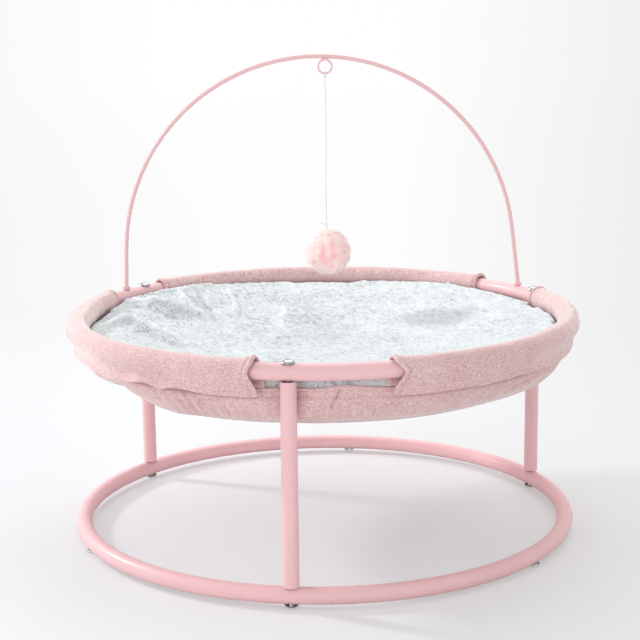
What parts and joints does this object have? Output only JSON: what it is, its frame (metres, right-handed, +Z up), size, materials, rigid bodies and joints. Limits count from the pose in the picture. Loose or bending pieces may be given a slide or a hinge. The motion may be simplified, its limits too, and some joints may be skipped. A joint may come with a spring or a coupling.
{
  "type": "raised cat bed",
  "caption": "Round raised cat bed: cloth sling with a plush pad on a tube frame of rings and legs, with a wire hoop that carries a hanging pompom.",
  "frame": {"origin": "on the floor, on the common axis of the two rings", "axes": "+Z up, -Y towards the front, +X to the right as seen from the front"},
  "size_m": [0.4664, 0.4634, 0.4267],
  "materials": {
    "pink_paint": "satin powder coat",
    "plated_steel": "bright plated",
    "clear_plastic": "soft clear",
    "pink_linen": "woven linen look",
    "grey_plush": "short pile",
    "fastening_tape": "hook and loop tape",
    "pompom_fluff": "long fluffy pile",
    "white_string": "smooth twisted string"
  },
  "bodies": {
    "frame": {"lower_ring": "pink_paint", "upper_ring": "pink_paint", "leg_front": "pink_paint", "leg_right": "pink_paint", "leg_left": "pink_paint", "insert_front_bottom": "plated_steel", "insert_front_top": "plated_steel", "insert_right_bottom": "plated_steel", "insert_right_top": "plated_steel", "insert_left_bottom": "plated_steel", "insert_left_top": "plated_steel", "screw_front_bottom": "plated_steel", "screw_front_top": "plated_steel", "screw_right_bottom": "plated_steel", "screw_right_top": "plated_steel", "screw_left_bottom": "plated_steel", "screw_left_top": "plated_steel", "foot_front_right": "clear_plastic", "foot_rear": "clear_plastic", "foot_front_left": "clear_plastic", "toy_hoop": "pink_paint", "nut_left": "plated_steel", "nut_right": "plated_steel", "string_eyelet": "pink_paint", "sling": "pink_linen", "plush_pad": "grey_plush", "flap_left": "pink_linen", "flap_right": "pink_linen", "flap_rear": "pink_linen", "loop_strip_left": "fastening_tape", "loop_strip_right": "fastening_tape", "loop_strip_rear": "fastening_tape", "hook_strip_left": "fastening_tape", "hook_strip_right": "fastening_tape", "hook_strip_rear": "fastening_tape"},
    "toy_loop": {"string_loop": "white_string"},
    "toy": {"toy_string": "white_string", "pompom_knot": "white_string", "pompom": "pompom_fluff"}
  },
  "joints": [
    {"name": "toy_swing_fore_aft", "type": "hinge", "parent": "frame", "child": "toy_loop", "pos_m": [0.005, 0.1115, 0.40827], "axis": [1, 0, 0], "range_deg": [-75, 75]},
    {"name": "toy_swing_sideways", "type": "hinge", "parent": "toy_loop", "child": "toy", "pos_m": [0.005, 0.1115, 0.40515], "axis": [0, 1, 0], "range_deg": [-55, 55]}
  ]
}
